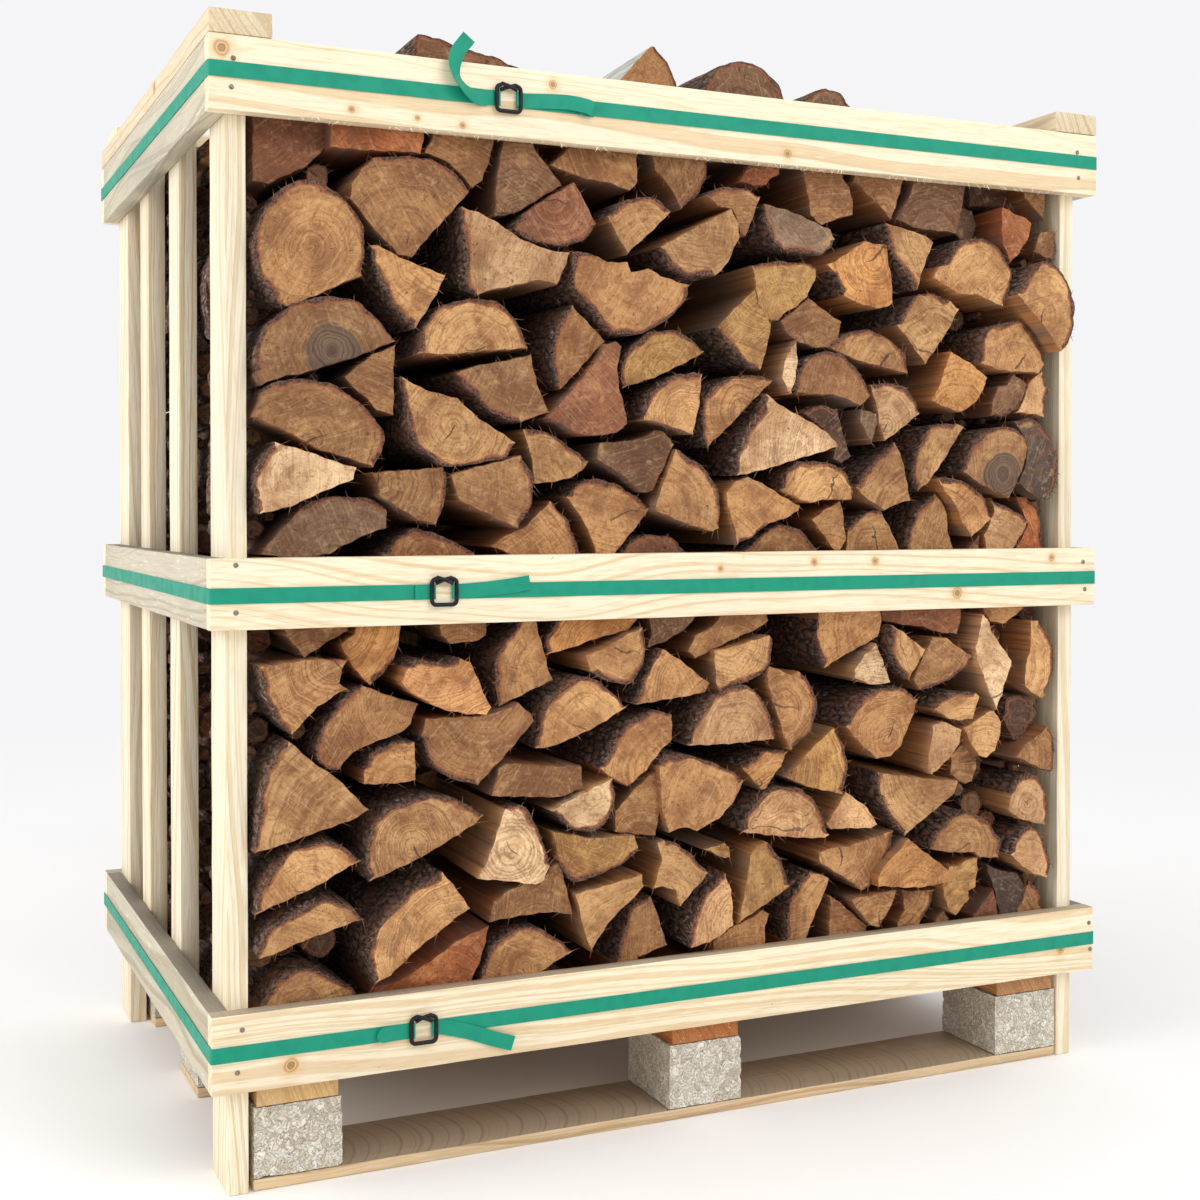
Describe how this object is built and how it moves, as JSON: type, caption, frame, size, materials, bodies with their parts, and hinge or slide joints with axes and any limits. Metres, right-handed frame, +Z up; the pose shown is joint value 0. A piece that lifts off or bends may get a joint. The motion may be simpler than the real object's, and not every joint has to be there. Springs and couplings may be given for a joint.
{
  "type": "strapped crate of split firewood",
  "caption": "Open pine crate on its own block pallet, filled with stacked split firewood and closed by plastic straps with wire buckles.",
  "frame": {"origin": "on the ground, under the middle of the whole object's box", "axes": "+Z up; -Y is the long open face with the strap buckles; +X to the right seen from that face"},
  "size_m": [1.1262, 0.7688, 1.2373],
  "materials": {
    "crate_pine": "rough sawn pine, pale, with knots and nail heads",
    "pallet_pine": "rough sawn pallet boards, browned and dirty on top",
    "chip_block": "pressed wood chip block, coarse pale flakes",
    "firewood": "split hardwood, dried, with growth rings, cracks and furrowed bark",
    "green_strap": "woven plastic strapping, satin green",
    "buckle_wire": "black phosphated steel wire"
  },
  "bodies": {
    "root": {"block_front_centre": "chip_block", "block_front_left": "chip_block", "block_front_right": "chip_block", "block_middle_centre": "chip_block", "block_middle_left": "chip_block", "block_middle_right": "chip_block", "block_rear_centre": "chip_block", "block_rear_left": "chip_block", "block_rear_right": "chip_block", "bottom_board_front": "pallet_pine", "bottom_board_middle": "pallet_pine", "bottom_board_rear": "pallet_pine", "buckle_bottom": "buckle_wire", "buckle_middle": "buckle_wire", "buckle_top": "buckle_wire", "cleat_rear": "crate_pine", "deck_board_1": "pallet_pine", "deck_board_2": "pallet_pine", "deck_board_3": "pallet_pine", "deck_board_4": "pallet_pine", "deck_board_5": "pallet_pine", "log_row_front": "firewood", "log_row_middle": "firewood", "log_row_rear": "firewood", "loose_log_1": "firewood", "loose_log_2": "firewood", "loose_log_3": "firewood", "loose_log_4": "firewood", "loose_log_5": "firewood", "loose_log_6": "firewood", "loose_log_7": "firewood", "post_front_left": "crate_pine", "post_front_right": "crate_pine", "post_rear_left": "crate_pine", "post_rear_right": "crate_pine", "rail_back_bottom": "crate_pine", "rail_back_middle": "crate_pine", "rail_back_top": "crate_pine", "rail_front_bottom": "crate_pine", "rail_front_middle": "crate_pine", "rail_front_top": "crate_pine", "rail_left_bottom": "crate_pine", "rail_left_middle": "crate_pine", "rail_left_top": "crate_pine", "rail_right_bottom": "crate_pine", "rail_right_middle": "crate_pine", "rail_right_top": "crate_pine", "runner_left": "crate_pine", "runner_right": "crate_pine", "slat_left_front": "crate_pine", "slat_left_rear": "crate_pine", "slat_right_front": "crate_pine", "slat_right_rear": "crate_pine", "strap_bottom": "green_strap", "strap_middle": "green_strap", "strap_top": "green_strap", "stringer_centre": "pallet_pine", "stringer_left": "pallet_pine", "stringer_right": "pallet_pine"}
  },
  "joints": []
}
